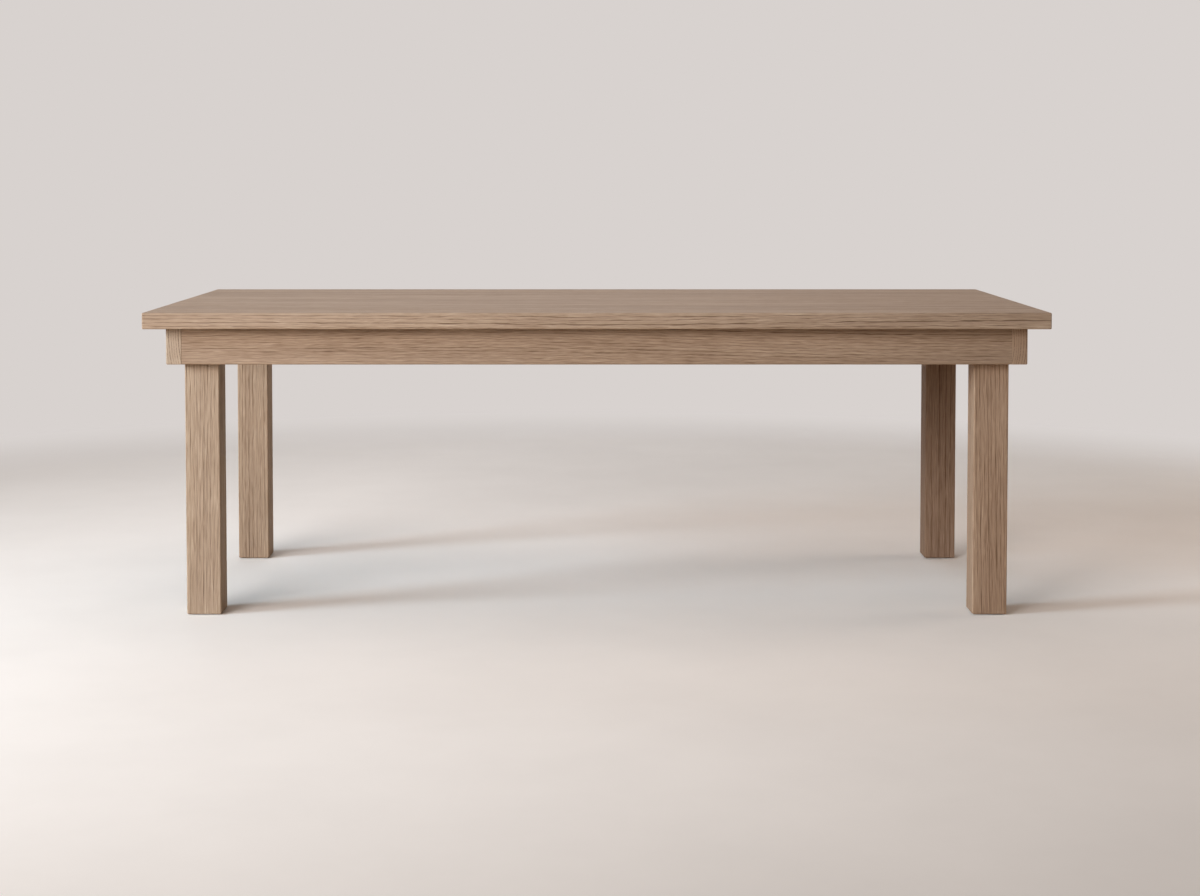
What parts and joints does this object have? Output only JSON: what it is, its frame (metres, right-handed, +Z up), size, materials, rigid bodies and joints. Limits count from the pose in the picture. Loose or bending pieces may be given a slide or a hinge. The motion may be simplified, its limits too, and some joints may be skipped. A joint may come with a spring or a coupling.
{
  "type": "dining table",
  "caption": "Rectangular farmhouse dining table with a thick plank top, a deep plain apron box and square legs set in its corners, in pale brushed oak.",
  "frame": {"origin": "on the floor under the middle of the table", "axes": "+X along the table's length to its right end as seen from the front, +Y to its back, +Z up"},
  "size_m": [2.2, 1, 0.755],
  "materials": {
    "top_oak": "pale brushed oak, matt oil",
    "apron_oak": "pale brushed oak, matt oil",
    "leg_oak": "pale brushed oak, matt oil",
    "frame_beech": "planed beech, unfinished",
    "zinc_steel": "zinc plated",
    "glide_nylon": "dark moulded nylon"
  },
  "bodies": {
    "root": {"top_board_1": "top_oak", "top_board_2": "top_oak", "top_board_3": "top_oak", "top_board_4": "top_oak", "top_board_5": "top_oak", "top_board_6": "top_oak", "top_board_7": "top_oak", "front_apron": "apron_oak", "back_apron": "apron_oak", "left_end_apron": "apron_oak", "right_end_apron": "apron_oak", "front_left_leg": "leg_oak", "front_right_leg": "leg_oak", "back_right_leg": "leg_oak", "back_left_leg": "leg_oak", "front_left_corner_block": "frame_beech", "front_right_corner_block": "frame_beech", "back_right_corner_block": "frame_beech", "back_left_corner_block": "frame_beech", "left_cross_rail": "frame_beech", "right_cross_rail": "frame_beech", "top_buttons": "frame_beech", "top_board_dowels": "frame_beech", "apron_corner_dowels": "frame_beech", "leg_hanger_bolts": "zinc_steel", "leg_bolt_washers": "zinc_steel", "leg_bolt_nuts": "zinc_steel", "corner_block_screws": "zinc_steel", "cross_rail_screws": "zinc_steel", "top_button_screws": "zinc_steel", "foot_glide_screws": "zinc_steel", "foot_glides": "glide_nylon"}
  },
  "joints": []
}
